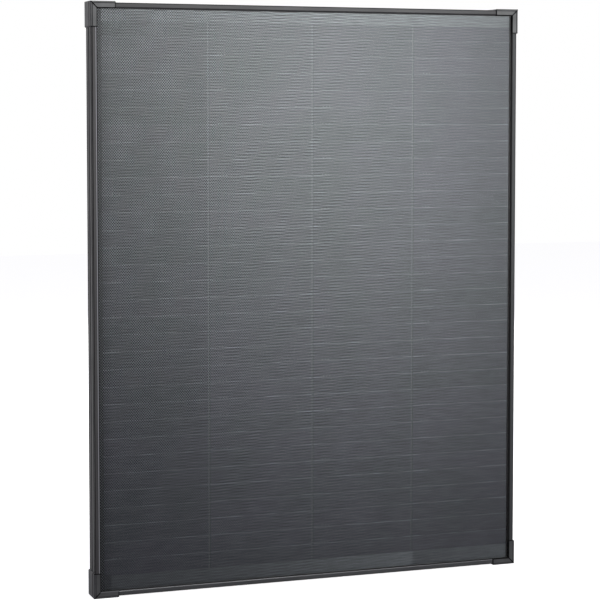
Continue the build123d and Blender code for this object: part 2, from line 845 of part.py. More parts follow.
# ---------------------------------------------------------------- terminals
def make_terminal(name, x):
    """Tinned copper plate, clamped by one screw at its lower end."""
    with BuildPart() as terminal:
        with BuildSketch(facing_plane(terminal_front)):
            with Locations((x, box_middle + terminal_raise)):
                RectangleRounded(terminal_width, terminal_height, terminal_radius)
            with Locations((x, box_middle - terminal_screw_drop)):
                Circle(terminal_screw_radius + screw_plate_clearance, mode=Mode.SUBTRACT)
        extrude(amount=-terminal_thickness)
    terminal.part.label = name
    export_step(terminal.part, f"parts/{name}.step")
    return terminal


make_terminal("terminal_positive", terminal_x)
make_terminal("terminal_negative", -terminal_x)

with BuildPart() as terminal_screws:
    with BuildSketch(facing_plane(terminal_rear)):
        with Locations((0, box_middle - terminal_screw_drop)):
            with GridLocations(2 * terminal_x, 1, 2, 1):
                Circle(terminal_screw_head_radius)
    extrude(amount=-terminal_screw_head_height)
    with BuildSketch(facing_plane(terminal_rear)):
        with Locations((0, box_middle - terminal_screw_drop)):
            with GridLocations(2 * terminal_x, 1, 2, 1):
                Circle(terminal_screw_radius)
    extrude(amount=terminal_thickness + terminal_pad_height - screw_end_gap)
    with BuildSketch(facing_plane(terminal_rear + terminal_screw_head_height)):
        with Locations((0, box_middle - terminal_screw_drop)):
            with GridLocations(2 * terminal_x, 1, 2, 1):
                Rectangle(screw_recess_length, screw_recess_width)
                Rectangle(screw_recess_width, screw_recess_length)
    extrude(amount=screw_recess_depth, mode=Mode.SUBTRACT)
terminal_screws.part.label = "terminal_screws"
export_step(terminal_screws.part, "parts/terminal_screws.step")

diode_y = terminal_rear + diode_lead_radius
diode_z = box_middle + diode_raise
with BuildPart() as bypass_diode:
    with BuildSketch(Plane.YZ.offset(-diode_length / 2)):
        with Locations((diode_y, diode_z)):
            Circle(diode_radius)
    extrude(amount=diode_length)
    with BuildSketch(Plane.YZ.offset(-terminal_x)):
        with Locations((diode_y, diode_z)):
            Circle(diode_lead_radius)
    extrude(amount=2 * terminal_x)
bypass_diode.part.label = "bypass_diode"
export_step(bypass_diode.part, "parts/bypass_diode.step")


# ---------------------------------------------------------------- cable glands
def make_gland_body(side, x):
    """Hexagon flange outside the wall, thread on both sides of it, seal socket and drafted throat."""
    flange_bottom = box_bottom - gland_flange
    tip = flange_bottom - gland_outer_thread
    socket_end = tip + gland_socket_depth
    inner_end = box_bottom + box_wall + gland_inner_thread
    with BuildPart() as body:
        with BuildSketch(Plane.XY.offset(flange_bottom)):
            with Locations((x, gland_y)):
                RegularPolygon(gland_flats / 2, 6, major_radius=False)
        extrude(amount=gland_flange)
        with BuildSketch(Plane.XY.offset(tip)):
            with Locations((x, gland_y)):
                Circle(gland_thread_radius)
        extrude(amount=inner_end - tip)
        with BuildSketch(Plane.XY.offset(tip)):
            with Locations((x, gland_y)):
                Circle(gland_socket_radius)
        extrude(amount=gland_socket_depth, mode=Mode.SUBTRACT)
        throat_length = inner_end - socket_end
        with Locations((x, gland_y, socket_end + throat_length / 2)):
            Cone(gland_throat_radius, gland_throat_top_radius, throat_length, mode=Mode.SUBTRACT)
    name = f"gland_body_{side}"
    body.part.label = name
    export_step(body.part, f"parts/{name}.step")
    return body


def make_gland_seal(side, x):
    """Rubber sleeve that the nut squeezes onto the cable."""
    top = box_bottom - gland_flange - gland_outer_thread + gland_socket_depth
    with BuildPart() as seal:
        with BuildSketch(Plane.XY.offset(top - seal_length)):
            with Locations((x, gland_y)):
                Circle(seal_outer_radius)
                Circle(seal_bore_radius, mode=Mode.SUBTRACT)
        extrude(amount=seal_length)
    name = f"gland_seal_{side}"
    seal.part.label = name
    export_step(seal.part, f"parts/{name}.step")
    return seal


def make_gland_nut(side, x):
    """Hexagon cap nut over the lower thread, with a rounded mouth for the cable."""
    nut_top = box_bottom - gland_flange - nut_gap
    with BuildPart() as nut:
        with BuildSketch(Plane.XY.offset(nut_top - nut_length)):
            with Locations((x, gland_y)):
                RegularPolygon(gland_flats / 2, 6, major_radius=False)
        extrude(amount=nut_length)
        chamfer(nut.faces().sort_by(Axis.Z)[0].edges(), nut_chamfer)
        with BuildSketch(Plane.XY.offset(nut_top - gland_outer_thread)):
            with Locations((x, gland_y)):
                Circle(nut_bore_radius)
        extrude(amount=gland_outer_thread, mode=Mode.SUBTRACT)
        with BuildSketch(Plane.XY.offset(nut_top - nut_length)):
            with Locations((x, gland_y)):
                Circle(nut_mouth_radius)
        extrude(amount=nut_length, mode=Mode.SUBTRACT)
    name = f"gland_nut_{side}"
    nut.part.label = name
    export_step(nut.part, f"parts/{name}.step")
    return nut


def make_gland_locknut(side, x):
    """Thin hexagon nut that holds the gland from inside the box."""
    with BuildPart() as locknut:
        with BuildSketch(Plane.XY.offset(box_bottom + box_wall)):
            with Locations((x, gland_y)):
                RegularPolygon(locknut_flats / 2, 6, major_radius=False)
                Circle(gland_thread_radius + locknut_clearance, mode=Mode.SUBTRACT)
        extrude(amount=locknut_thickness)
    name = f"gland_locknut_{side}"
    locknut.part.label = name
    export_step(locknut.part, f"parts/{name}.step")
    return locknut


for gland_side, gland_position in (("left", -gland_x), ("right", gland_x)):
    make_gland_body(gland_side, gland_position)
    make_gland_seal(gland_side, gland_position)
    make_gland_nut(gland_side, gland_position)
    make_gland_locknut(gland_side, gland_position)
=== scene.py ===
import math

import bpy
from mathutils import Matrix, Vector


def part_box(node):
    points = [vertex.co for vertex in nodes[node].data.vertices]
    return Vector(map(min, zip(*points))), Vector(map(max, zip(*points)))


# Framed shingled solar panel, in metres, in the CAD model's own frame.
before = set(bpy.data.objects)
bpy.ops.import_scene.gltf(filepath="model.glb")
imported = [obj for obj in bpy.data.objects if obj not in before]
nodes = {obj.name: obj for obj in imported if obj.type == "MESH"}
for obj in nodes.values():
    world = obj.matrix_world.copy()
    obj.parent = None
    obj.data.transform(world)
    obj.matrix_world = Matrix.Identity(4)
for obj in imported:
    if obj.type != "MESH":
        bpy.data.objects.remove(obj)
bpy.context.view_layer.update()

# ------------------------------------------------------------------ sizes, read from the CAD
ROWS = 32
STRINGS = 4
SHINGLES_IN_WAFER = 6
FIRST_LOW, FIRST_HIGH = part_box("cell_string_1")
CELLS_LEFT = FIRST_LOW.x
CELLS_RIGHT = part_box(f"cell_string_{STRINGS}")[1].x
CELLS_BOTTOM = FIRST_LOW.z
CELLS_TOP = FIRST_HIGH.z
WAFER_WIDTH = FIRST_HIGH.x - FIRST_LOW.x
SHINGLE_HEIGHT = WAFER_WIDTH / SHINGLES_IN_WAFER
SHINGLE_PITCH = (CELLS_TOP - CELLS_BOTTOM - SHINGLE_HEIGHT) / (ROWS - 1)
STRING_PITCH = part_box("cell_string_2")[0].x - CELLS_LEFT
COVER_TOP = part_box("cover_strip_top")[1].z
GLASS_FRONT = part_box("front_glass")[0].y
GLASS_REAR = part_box("front_glass")[1].y
RAIL_LEFT, RAIL_FRONT, RAIL_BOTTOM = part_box("frame_rail_left")[0]
RAIL_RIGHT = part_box("frame_rail_right")[1].x
RAIL_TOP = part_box("frame_rail_left")[1].z
RAIL_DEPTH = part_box("frame_rail_left")[1].y - RAIL_FRONT
GUARD_LEFT, GUARD_FRONT, GUARD_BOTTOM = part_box("corner_protector_bottom_left")[0]
GUARD_RIGHT, _, GUARD_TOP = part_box("corner_protector_top_right")[1]
GUARD_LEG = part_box("corner_protector_bottom_left")[1].x - GUARD_LEFT

# ------------------------------------------------------------------ sizes of painted lines
# on the rails
LIP_WIDTH = 0.007
BEVEL_WIDTH = 0.0011
LEFT_BEVEL_WIDTH = 0.0016
FACE_DEPTH = 0.0008
EDGE_WIDTH = 0.0009
EDGE_SOFT = 0.0004
FRONT_GROOVE = 0.0055
FRONT_GROOVE_HALF = 0.0015
MIDDLE_GROOVE = 0.019
MIDDLE_GROOVE_HALF = 0.0017
REAR_EDGE = 0.0052
REAR_SOFT = 0.0012
# on the corner protectors
GUARD_FACE = 0.010
GUARD_FACE_DEPTH = 0.0030
GUARD_RIM = 0.0013
GUARD_SOFT = 0.0004
GUARD_GROOVE = 0.0027
GUARD_GROOVE_HALF = 0.0004
GUARD_SIDE_LINE = 0.0096
GUARD_SIDE_LINE_HALF = 0.0013
MITRE_HALF = 0.0009
# on both
SOFT = 0.0003
CORNER_SOFT = 0.0002
# on the cells
ROW_EDGE = 0.0010
ROW_EDGE_SOFT = 0.0004
ROW_SHADOW = 0.0022
ROW_SHADOW_HALF = 0.0005
FINGER_PITCH = 0.0013
DOT_PITCH = 0.005
DOT_HEIGHT = 0.0022
DOT_RADIUS = 0.0005
DOT_SOFT = 0.0004
DOTS_START = 0.010
DOTS_START_FAR = 0.016

# ------------------------------------------------------------------ pressed texture of the glass
LEVEL_PITCH = 0.0042
SECOND_PITCH = 0.00465
ACROSS_PITCH = 0.0036
LEAN = 0.07
GLASS_RISE = 0.00011
CELL_RISE = 0.00004
WANDER = 0.0016
SECOND_WANDER = 0.006
DARKEST = 0.06

# ------------------------------------------------------------------ colours and gloss
SATIN = 0.42
DULL = 1.0
# painted shade on the rails' outer edges and side grooves
PAINTED_SHADE_LEVEL = 0.12
# rail colours, lighter or darker by how the light falls on each side: lit and shaded copies of one finish
LEFT_COLOUR = (0.100, 0.098, 0.098)
RIGHT_COLOUR = (0.079, 0.083, 0.084)
TOP_COLOUR = (0.086, 0.087, 0.088)
BOTTOM_COLOUR = (0.104, 0.109, 0.111)
# inner bevels: painted highlights on the left and lower rails, painted shade on the right and upper ones
LEFT_BEVEL_HIGHLIGHT = (0.60, 0.61, 0.64, 1.0)
RIGHT_BEVEL_SHADE = (0.01, 0.01, 0.01, 1.0)
UPPER_BEVEL_SHADE = (0.10, 0.10, 0.10, 1.0)
LOWER_BEVEL_HIGHLIGHT = (0.15, 0.152, 0.160, 1.0)
RAIL_METALLIC = 0.4
GUARD_COLOUR = (0.172, 0.176, 0.175)
GUARD_METALLIC = 0.75
# painted shade in the protectors' grooves and painted shadow along their rims and leg ends
GUARD_PAINTED_SHADE_LEVEL = 0.06
LOWER_GLINT = (0.45, 0.46, 0.47, 1.0)
CELL_GREEN = (0.150, 0.1565, 0.1580, 1.0)
CELL_PURPLE = (0.166, 0.1650, 0.1735, 1.0)
LOW_GREEN = (0.155, 0.1560, 0.1690, 1.0)
LOW_PURPLE = (0.170, 0.1640, 0.1850, 1.0)
CELL_ROUGHNESS = 0.417
FINGER_COLOUR = (0.36, 0.36, 0.37, 1.0)
ROW_SHADOW_COLOUR = (0.03, 0.03, 0.03, 1.0)
DOT_COLOUR = (0.55, 0.56, 0.57, 1.0)
# painted sheen on the black film beside and above the strings
GAP_SHEEN = (0.211, 0.215, 0.223, 1.0)
GAP_FAR_SHEEN = (0.135, 0.138, 0.144, 1.0)
MARGIN_BLACK = (0.001, 0.001, 0.001, 1.0)
# painted highlights where the pressed texture's knots shine in the left margin
MARGIN_KNOT_HIGHLIGHTS = (0.23, 0.235, 0.245, 1.0)
COVER_COLOUR = (0.192, 0.195, 0.202)


# ------------------------------------------------------------------ shader helpers
class Graph:
    """Short calls for making shader nodes. An argument is a number, a tuple or a socket."""

    def __init__(self, name):
        self.material = bpy.data.materials.new(name)
        self.material.use_nodes = True
        self.tree = self.material.node_tree
        self.tree.nodes.clear()
        self.output = self.tree.nodes.new("ShaderNodeOutputMaterial")
        self.place = self.tree.nodes.new("ShaderNodeTexCoord").outputs["Object"]

    def put(self, socket, value):
        if isinstance(value, bpy.types.NodeSocket):
            self.tree.links.new(value, socket)
        else:
            socket.default_value = value

    def node(self, kind, inputs, **settings):
        made = self.tree.nodes.new(kind)
        for key, value in settings.items():
            setattr(made, key, value)
        for key, value in inputs.items():
            self.put(made.inputs[key], value)
        return made

    def math(self, operation, *values, clamp=False):
        made = self.tree.nodes.new("ShaderNodeMath")
        made.operation = operation
        made.use_clamp = clamp
        for index, value in enumerate(values):
            self.put(made.inputs[index], value)
        return made.outputs[0]

    def add(self, first, second, clamp=False):
        return self.math("ADD", first, second, clamp=clamp)

    def subtract(self, first, second):
        return self.math("SUBTRACT", first, second)

    def multiply(self, first, *others, clamp=False):
        for other in others:
            first = self.math("MULTIPLY", first, other, clamp=clamp)
        return first

    def least(self, first, *others):
        for other in others:
            first = self.math("MINIMUM", first, other)
        return first

    def most(self, first, *others):
        for other in others:
            first = self.math("MAXIMUM", first, other)
        return first

    def xyz(self):
        parts = self.node("ShaderNodeSeparateXYZ", {"Vector": self.place})
        return parts.outputs["X"], parts.outputs["Y"], parts.outputs["Z"]

    def vector(self, x, y, z):
        return self.node("ShaderNodeCombineXYZ", {"X": x, "Y": y, "Z": z}).outputs[0]

    def scaled(self, stretch):
        return self.node("ShaderNodeMapping", {"Vector": self.place, "Scale": stretch}).outputs[0]

    def noise(self, scale, detail=2.0, roughness=0.5, stretch=None, vector=None):
        where = vector or (self.scaled(stretch) if stretch else self.place)
        inputs = {"Vector": where, "Scale": scale, "Detail": detail, "Roughness": roughness}
        return self.node("ShaderNodeTexNoise", inputs).outputs["Fac"]

    def remap(self, value, from_low, from_high, to_low, to_high):
        inputs = {
            "Value": value,
            "From Min": from_low,
            "From Max": from_high,
            "To Min": to_low,
            "To Max": to_high,
        }
        return self.node("ShaderNodeMapRange", inputs).outputs["Result"]

    def spread(self, noise, low=0.0, high=1.0, reach=0.15):
        """Noise that keeps within reach of 0.5, stretched to run from low to high."""
        return self.remap(noise, 0.5 - reach, 0.5 + reach, low, high)

    def below(self, value, limit, soft):
        """1 up to the limit, falling to 0 over soft."""
        return self.remap(value, limit, limit + soft, 1.0, 0.0)

    def above(self, value, limit, soft):
        """0 up to the limit, rising to 1 over soft."""
        return self.remap(value, limit, limit + soft, 0.0, 1.0)

    def line(self, value, centre, half, soft):
        """1 within half of the centre, falling to 0 over soft."""
        return self.below(self.math("ABSOLUTE", self.subtract(value, centre)), half, soft)

    def mix(self, share, first, second):
        made = self.tree.nodes.new("ShaderNodeMix")
        made.data_type = "RGBA"
        self.put(made.inputs["Factor"], share)
        self.put(made.inputs[6], first)
        self.put(made.inputs[7], second)
        return made.outputs[2]

    def times(self, colour, factor):
        made = self.node("ShaderNodeVectorMath", {0: colour}, operation="SCALE")
        self.put(made.inputs["Scale"], factor)
        return made.outputs[0]

    def tones(self, share, colour, variation):
        """A colour that drifts by variation either way as share goes from 0 to 1."""
        return self.mix(share, shade(colour, 1 - variation), shade(colour, 1 + variation))

    def rounded(self, radius):
        return self.node("ShaderNodeBevel", {"Radius": radius}, samples=4).outputs[0]

    def bump(self, height, distance, normal=None):
        inputs = {"Strength": 1.0, "Distance": distance, "Height": height}
        if normal:
            inputs["Normal"] = normal
        return self.node("ShaderNodeBump", inputs).outputs[0]

    def transparent(self, colour):
        return self.node("ShaderNodeBsdfTransparent", {"Color": colour}).outputs[0]

    def principled(self, **inputs):
        named = {key.replace("_", " "): value for key, value in inputs.items()}
        return self.node("ShaderNodeBsdfPrincipled", named).outputs[0]

    def finish(self, shader):
        self.tree.links.new(shader, self.output.inputs["Surface"])
        return self.material

    def finish_mixed(self, share, first, second):
        return self.finish(self.node("ShaderNodeMixShader", {0: share, 1: first, 2: second}).outputs[0])


def shade(colour, factor):
    return tuple(min(part * factor, 1.0) for part in colour) + (1.0,)


def dress(material, *names):
    for name in names:
        slots = nodes[name].data.materials
        slots.clear()
        slots.append(material)


def nodes_starting(*starts):
    return [name for name in sorted(nodes) if name.startswith(starts)]


# ------------------------------------------------------------------ general finishes
def moulded(name, colour, roughness, grain=1400.0, depth=0.00003):
    """Moulded plastic or rubber: spark-eroded grain, faint mottling, softened edges."""
    g = Graph(name)
    rough = g.spread(g.noise(120.0), roughness - 0.06, roughness + 0.06, reach=0.2)
    base = g.tones(g.spread(g.noise(28.0, detail=3.0)), colour, 0.12)
    normal = g.bump(g.noise(grain, roughness=0.6), depth, g.rounded(0.0004))
    return g.finish(g.principled(Base_Color=base, Roughness=rough, Normal=normal))


def lengthwise(along):
    """Texture scale that draws a pattern out along one axis."""
    stretch = [1.0, 1.0, 1.0]
    stretch["XYZ".index(along)] = 0.01
    return stretch


def drawn_lines(g, along):
    """Fine lines along the length, a cloudy pattern, and how light the two make the metal."""
    streaks = g.noise(900.0, stretch=lengthwise(along))
    cloud = g.noise(14.0, detail=4.0, roughness=0.55)
    tone = g.add(g.multiply(streaks, 0.5), g.multiply(cloud, 0.5))
    return streaks, cloud, g.spread(tone, reach=0.12)


def drawn_metal(name, colour, roughness, along):
    """Rolled or drawn metal: fine lines along the length, cloudy sheen."""
    g = Graph(name)
    streaks, cloud, tone = drawn_lines(g, along)
    base = g.tones(tone, colour, 0.14)
    rough = g.spread(cloud, roughness - 0.05, roughness + 0.05, reach=0.2)
    normal = g.bump(streaks, 0.000004, g.rounded(0.0004))
    return g.finish(g.principled(Base_Color=base, Metallic=1.0, Roughness=rough, Normal=normal))


def film(name, colour, roughness, scale=60.0, depth=0.00002, mottle=0.08):
    """Thin laminated film: very slight waviness and mottling."""
    g = Graph(name)
    waviness = g.noise(scale)
    base = g.tones(g.spread(g.noise(9.0, detail=4.0)), colour, mottle)
    rough = g.spread(waviness, roughness - 0.05, roughness + 0.05, reach=0.2)
    return g.finish(g.principled(Base_Color=base, Roughness=rough, Normal=g.bump(waviness, depth)))


# ------------------------------------------------------------------ frame and corner protectors
def edge_distances(g, left, right, bottom, top):
    """How far in from the nearest upright edge and from the nearest level edge, seen from the front."""
    x, _, z = g.xyz()
    across = g.least(g.subtract(x, left), g.subtract(right, x))
    up = g.least(g.subtract(z, bottom), g.subtract(top, z))
    return across, up


def band(g, value, centre, half):
    """1 within half of the centre, with soft sides half as wide again."""
    return g.line(value, centre, half, half / 2)


def make_rail_finish(name, along, colour, bevel_light, bevel_width=BEVEL_WIDTH):
    """Black anodised extrusion: drawn lines, cloudy sheen, painted shade on the outer edge of the lip and in
    the side grooves, and an inner bevel in a painted highlight colour on the left and lower rails and a
    painted shade colour on the right and upper ones.
    """
    g = Graph(name)
    streaks, cloud, tone = drawn_lines(g, along)
    _, y, _ = g.xyz()
    inset = g.least(*edge_distances(g, RAIL_LEFT, RAIL_RIGHT, RAIL_BOTTOM, RAIL_TOP))
    face = g.below(y, RAIL_FRONT + FACE_DEPTH, SOFT)
    # painted shade: dark outer edge of the lip, side grooves and rear edge
    edge = g.multiply(g.below(inset, EDGE_WIDTH, EDGE_SOFT), face)
    # inner bevel: painted light and shade, passed in for each rail
    bevel = g.multiply(g.above(inset, LIP_WIDTH - bevel_width, SOFT), face)
    depth = g.subtract(y, RAIL_FRONT)
    grooves = g.most(
        band(g, depth, FRONT_GROOVE, FRONT_GROOVE_HALF),
        band(g, depth, MIDDLE_GROOVE, MIDDLE_GROOVE_HALF),
        g.above(depth, RAIL_DEPTH - REAR_EDGE, REAR_SOFT),
    )
    outside = g.below(inset, EDGE_WIDTH, CORNER_SOFT)
    painted_shade = g.most(edge, g.multiply(grooves, outside))
    base = g.mix(painted_shade, g.tones(tone, colour, 0.12), shade(colour, PAINTED_SHADE_LEVEL))
    base = g.mix(bevel, base, bevel_light)
    rough = g.spread(cloud, SATIN - 0.04, SATIN + 0.04, reach=0.2)
    rough = g.remap(painted_shade, 0.0, 1.0, rough, DULL)
    normal = g.bump(streaks, 0.000004, g.rounded(0.0004))
    shader = g.principled(
        Base_Color=base, Metallic=RAIL_METALLIC, Roughness=rough, Normal=normal, Specular_IOR_Level=1.0
    )
    return g.finish(shader)


def make_protector_finish():
    """Grained black plastic, with painted shade in its grooves and a painted shadow along its inner rim and
    at the ends of its legs.
    """
    g = Graph("protector_plastic")
    x, y, z = g.xyz()
    across, up = edge_distances(g, GUARD_LEFT, GUARD_RIGHT, GUARD_BOTTOM, GUARD_TOP)
    inset = g.least(across, up)
    # painted shade in the mitre and edge grooves, painted shadow along the inner rim and at the leg ends
    mitre = g.line(g.subtract(across, up), 0.0, MITRE_HALF, SOFT)
    groove = g.multiply(g.line(inset, GUARD_GROOVE, GUARD_GROOVE_HALF, SOFT), 0.5)
    rim = g.above(inset, GUARD_FACE - GUARD_RIM, GUARD_SOFT)
    end = g.above(g.most(across, up), GUARD_LEG - GUARD_RIM, GUARD_SOFT)
    front = g.below(y, GUARD_FRONT + GUARD_FACE_DEPTH, GUARD_SOFT)
    painted_shade = g.multiply(g.most(mitre, groove, rim, end), front)
    outside = g.below(inset, EDGE_WIDTH, CORNER_SOFT)
    # painted shade in the groove along the side
    side_line = band(g, g.subtract(y, GUARD_FRONT), GUARD_SIDE_LINE, GUARD_SIDE_LINE_HALF)
    painted_shade = g.most(painted_shade, g.multiply(side_line, outside))
    base = g.tones(g.spread(g.noise(40.0, detail=3.0)), GUARD_COLOUR, 0.12)
    base = g.mix(painted_shade, base, shade(GUARD_COLOUR, GUARD_PAINTED_SHADE_LEVEL))

    # the rim of the lower left level leg faces up and catches the light
    low = g.math("LESS_THAN", z, GUARD_BOTTOM + GUARD_FACE)
    left = g.math("LESS_THAN", x, 0.0)
    level_leg = g.math("LESS_THAN", up, across)
    base = g.mix(g.multiply(rim, front, low, left, level_leg), base, LOWER_GLINT)
    rough = g.spread(g.noise(120.0), SATIN - 0.03, SATIN + 0.05, reach=0.2)
    rough = g.remap(painted_shade, 0.0, 1.0, rough, DULL)
    normal = g.bump(g.noise(1500.0, roughness=0.6), 0.00003, g.rounded(0.0005))
    shader = g.principled(
        Base_Color=base, Metallic=GUARD_METALLIC, Roughness=rough, Normal=normal, Specular_IOR_Level=1.0
    )
    return g.finish(shader)


# ------------------------------------------------------------------ glass with a pressed texture
def wave(g, place, across, pitch, lean=0.0):
    """A sine of this pitch, whose lines lean by this slope."""
    leaning = g.add(place, g.multiply(across, lean))
    return g.math("SINE", g.multiply(leaning, 2 * math.pi / pitch))


def diamonds(g):
    """Chequered pattern of the pressed texture, from -1 to 1."""
    x, _, z = g.xyz()
    return g.multiply(wave(g, z, x, LEVEL_PITCH), wave(g, x, z, ACROSS_PITCH))


def lattice(g):
    """Pressed texture: crossing rounded ridges, from -1 to 1."""
    x, _, z = g.xyz()
    return g.multiply(g.add(wave(g, z, x, LEVEL_PITCH), diamonds(g)), 0.5)


def wandering(g, place, noise, distance):
    """A place pushed to and fro by noise."""
    return g.add(place, g.multiply(g.subtract(noise, 0.5), distance))


def lattice_light(g):
    """Painted light and shade that the pressed texture throws on what lies behind it: most at the upper
    left.
    """
    x, _, z = g.xyz()
    leftward = g.remap(x, CELLS_LEFT, CELLS_RIGHT, 1.0, 0.0)
    height = g.remap(z, CELLS_BOTTOM, CELLS_TOP, 0.0, 1.0)
    patches = g.noise(26.0)

    # nearly level waves, strongest in the upper middle
    level = wave(g, wandering(g, z, g.noise(80.0, detail=1.0), WANDER), x, LEVEL_PITCH, -LEAN)
    second = wave(g, wandering(g, z, g.noise(38.0), SECOND_WANDER), x, SECOND_PITCH, LEAN)
    level_share = g.multiply(
        g.remap(leftward, 0.0, 0.5, 0.05, 0.28),
        g.remap(height, 0.0, 0.6, 0.40, 1.0),
        g.remap(leftward, 0.65, 0.9, 1.0, 0.65),
        g.spread(patches, 1.4, 0.7),
    )
    tone = g.math("MULTIPLY_ADD", level, level_share, 1.0)
    tone = g.math("MULTIPLY_ADD", second, g.multiply(level_share, 0.75), tone)

    # diamonds, strongest where the level waves are weak, and along the left edge
    diamond_share = g.multiply(
        g.remap(leftward, 0.55, 0.88, 0.03, 1.5),
        g.remap(height, 0.0, 0.6, 0.20, 1.0),
        g.spread(patches, 0.25, 1.4),
    )
    at_edge = g.remap(x, CELLS_LEFT, CELLS_LEFT + 0.012, 0.35, 0.0)
    tone = g.math("MULTIPLY_ADD", diamonds(g), g.add(diamond_share, at_edge), tone)
    return g.most(tone, DARKEST)


def make_glass():
    g = Graph("panel_glass")
    _, y, _ = g.xyz()
    front = g.math("LESS_THAN", y, (GLASS_FRONT + GLASS_REAR) / 2)
    normal = g.bump(lattice(g), GLASS_RISE)
    fresnel = g.node("ShaderNodeFresnel", {"IOR": 1.5, "Normal": normal}).outputs[0]
    gloss = g.node(
        "ShaderNodeBsdfGlossy",
        {"Color": (1.0, 1.0, 1.0, 1.0), "Roughness": 0.3, "Normal": normal},
    ).outputs[0]
    return g.finish_mixed(g.multiply(fresnel, front), g.transparent((0.95, 0.97, 0.97, 1.0)), gloss)


def make_clear_film():
    g = Graph("encapsulant_clear")
    haze = g.spread(g.noise(18.0, detail=3.0), 0.005, 0.015, reach=0.2)
    dull = g.node("ShaderNodeBsdfDiffuse", {"Color": (0.6, 0.62, 0.62, 1.0)}).outputs[0]
    return g.finish_mixed(haze, g.transparent((1.0, 1.0, 1.0, 1.0)), dull)


# ------------------------------------------------------------------ cells and what surrounds them
def column_place(g, x):
    """Number of the string that x is in, and how far x is into it."""
    along = g.subtract(x, CELLS_LEFT)
    column = g.math("FLOOR", g.math("DIVIDE", along, STRING_PITCH))
    return column, g.subtract(along, g.multiply(column, STRING_PITCH))


def row_place(g, z):
    """Number of the row that z is in, counted down from the top, and how far z is above its lower edge."""
    below_top = g.subtract(CELLS_TOP - SHINGLE_HEIGHT, z)
    row = g.math("CEIL", g.math("DIVIDE", below_top, SHINGLE_PITCH))
    return row, g.subtract(g.multiply(row, SHINGLE_PITCH), below_top)


def row_edges(g, x, row, in_column, above_edge):
    """Lower edge of each shingle: a thin lighter line in patches, partly the shingle's own edge and partly a
    painted highlight, stronger near the column's ends.
    """
    along = g.vector(g.multiply(x, 22.0), g.multiply(row, 5.3), 0.0)
    patch = g.remap(g.noise(1.0, detail=3.0, vector=along), 0.40, 0.66, 0.22, 0.85)
    from_middle = g.math("ABSOLUTE", g.subtract(in_column, WAFER_WIDTH / 2))
    ends = g.remap(from_middle, 0.060, 0.078, 0.0, 0.3)
    return g.multiply(g.below(above_edge, ROW_EDGE, ROW_EDGE_SOFT), g.add(patch, ends), clamp=True)


def contact_dots(g, in_column, above_edge, chance):
    """Three small contact dots near the left end of some rows."""
    from_first = g.subtract(in_column, g.remap(chance, 0.0, 1.0, DOTS_START, DOTS_START_FAR))
    index = g.math("ROUND", g.math("DIVIDE", from_first, DOT_PITCH))
    in_row = g.multiply(g.math("GREATER_THAN", index, -0.5), g.math("LESS_THAN", index, 2.5))
    dot_x = g.subtract(from_first, g.multiply(index, DOT_PITCH))
    dot_z = g.subtract(above_edge, DOT_HEIGHT)
    far = g.math("SQRT", g.add(g.math("POWER", dot_x, 2.0), g.math("POWER", dot_z, 2.0)))
    return g.multiply(g.below(far, DOT_RADIUS, DOT_SOFT), in_row, g.math("GREATER_THAN", chance, 0.5))


def make_cells():
    g = Graph("cell_silicon")
    x, _, z = g.xyz()
    column, in_column = column_place(g, x)
    row, above_edge = row_place(g, z)
    seed = g.vector(g.multiply(column, 7.31), g.multiply(row, 3.17), 0.0)
    chance = g.node("ShaderNodeTexWhiteNoise", {"Vector": seed}).outputs["Value"]

    # greenish and purplish greys, in clouds and from shingle to shingle, bluer low down and to the right
    low = g.remap(z, CELLS_BOTTOM + 0.15, CELLS_TOP - 0.2, 1.0, 0.0)
    right = g.remap(x, CELLS_LEFT + 0.2, CELLS_RIGHT - 0.1, 0.0, 0.7)
    drift = g.most(low, right)
    green = g.mix(drift, CELL_GREEN, LOW_GREEN)
    purple = g.mix(drift, CELL_PURPLE, LOW_PURPLE)
    cloud = g.spread(g.noise(11.0, detail=3.0))
    base = g.mix(g.add(cloud, g.remap(chance, 0.0, 1.0, -0.3, 0.3), clamp=True), green, purple)

    # fine fingers across each shingle, and the shadow under the shingle above
    finger_place = g.math("FRACT", g.math("DIVIDE", in_column, FINGER_PITCH))
    base = g.mix(g.multiply(g.math("LESS_THAN", finger_place, 0.05), 0.35), base, FINGER_COLOUR)
    shadow = g.line(above_edge, ROW_SHADOW, ROW_SHADOW_HALF, ROW_SHADOW_HALF)
    base = g.mix(g.multiply(shadow, 0.10), base, ROW_SHADOW_COLOUR)

    # row edges, partly a painted highlight, and faint level streaks, both stronger low down
    edge_light_gain = g.remap(z, CELLS_BOTTOM, CELLS_TOP, 2.15, 1.55)
    edge = row_edges(g, x, row, in_column, above_edge)
    base = g.times(base, g.remap(edge, 0.0, 1.0, 1.0, edge_light_gain))
    streaks = g.spread(g.noise(170.0, stretch=(0.18, 1.0, 1.0)), -1.0, 1.0)
    streak_gain = g.remap(z, CELLS_BOTTOM, CELLS_TOP, 0.10, 0.04)
    base = g.times(base, g.math("MULTIPLY_ADD", streaks, streak_gain, 1.0))

    # painted shade: a darker first column with a dim left edge; painted light and shade of the pressed
    # texture
    base = g.times(base, g.remap(column, 0.0, 1.0, 0.93, 1.0))
    base = g.times(base, lattice_light(g))
    base = g.times(base, g.remap(x, CELLS_LEFT, CELLS_LEFT + 0.014, 0.74, 1.0))
    dots = g.multiply(contact_dots(g, in_column, above_edge, chance), 0.4)
    base = g.mix(dots, base, DOT_COLOUR)
    normal = g.bump(lattice(g), CELL_RISE)
    return g.finish(g.principled(Base_Color=base, Metallic=1.0, Roughness=CELL_ROUGHNESS, Normal=normal))


